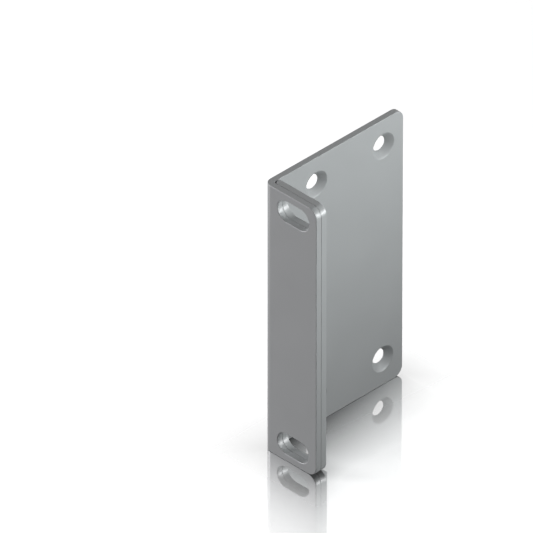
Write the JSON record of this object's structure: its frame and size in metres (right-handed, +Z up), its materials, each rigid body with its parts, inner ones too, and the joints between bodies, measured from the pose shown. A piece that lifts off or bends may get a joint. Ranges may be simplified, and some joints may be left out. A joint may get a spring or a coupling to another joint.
{
  "type": "rack mount ear bracket",
  "caption": "Folded steel angle with a doubled, slotted front flange and a countersunk side plate, which fixes one side of a chassis to a rack rail.",
  "frame": {"origin": "midway between the centres of the two rack slots, on the rear face of the doubler, which seats on the rack rail", "axes": "+X across the flange towards its free edge, away from the chassis; +Y back along the side plate, into the rack; +Z up along the rail"},
  "size_m": [0.0201, 0.0512, 0.0874],
  "materials": {
    "coated_steel": "satin"
  },
  "bodies": {
    "root": {"angle_bracket": "coated_steel", "flange_doubler": "coated_steel"}
  },
  "joints": []
}
